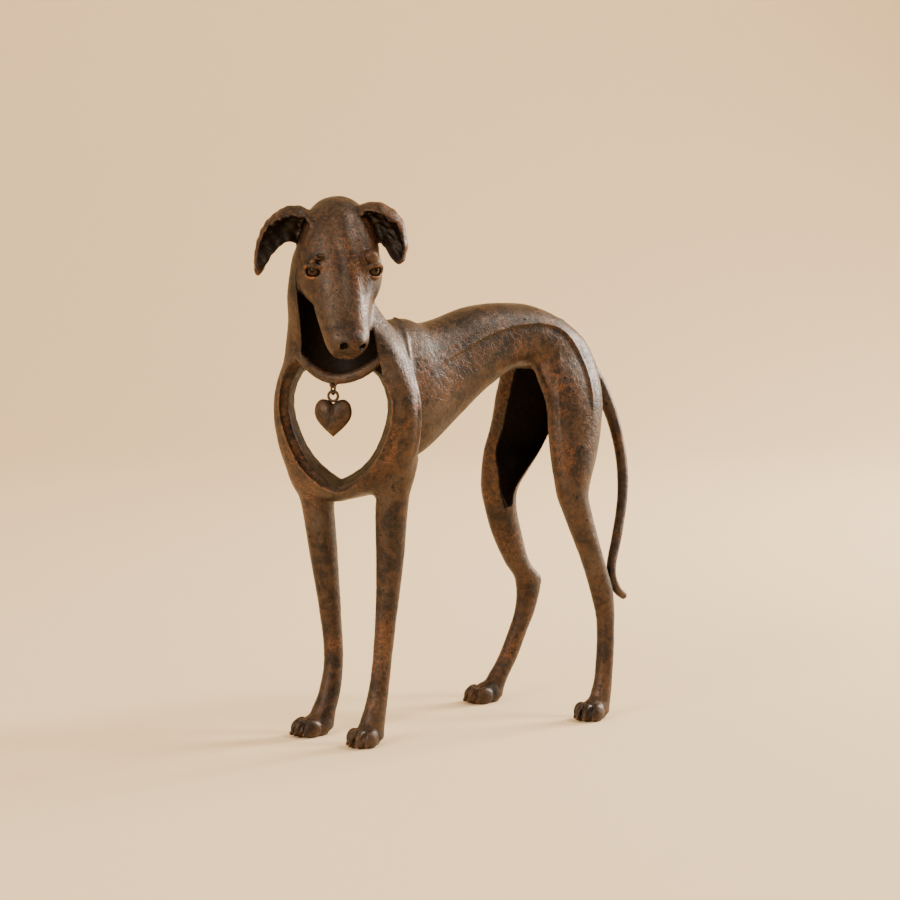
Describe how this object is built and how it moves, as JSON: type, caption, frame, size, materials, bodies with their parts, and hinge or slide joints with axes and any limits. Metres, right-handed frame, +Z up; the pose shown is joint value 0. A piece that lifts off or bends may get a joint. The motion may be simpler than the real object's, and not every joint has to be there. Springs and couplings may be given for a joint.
{
  "type": "animal figurine",
  "caption": "Standing greyhound figurine with an open hollow neck, a heart-shaped window through its chest, a collar with a hanging heart charm and a long curved tail.",
  "frame": {"origin": "on the floor, under the middle of the piece's bounding box", "axes": "+Z up, +Y towards the tail, +X towards the dog's left"},
  "size_m": [0.0854, 0.1966, 0.2555],
  "materials": {
    "bronze_resin": "dark brown faux-bronze patina with copper rub-through, satin",
    "charm_bronze": "dark bronze paint with worn copper edges, satin"
  },
  "bodies": {
    "root": {"greyhound": "bronze_resin", "charm_link": "charm_bronze", "heart_charm": "charm_bronze"}
  },
  "joints": []
}
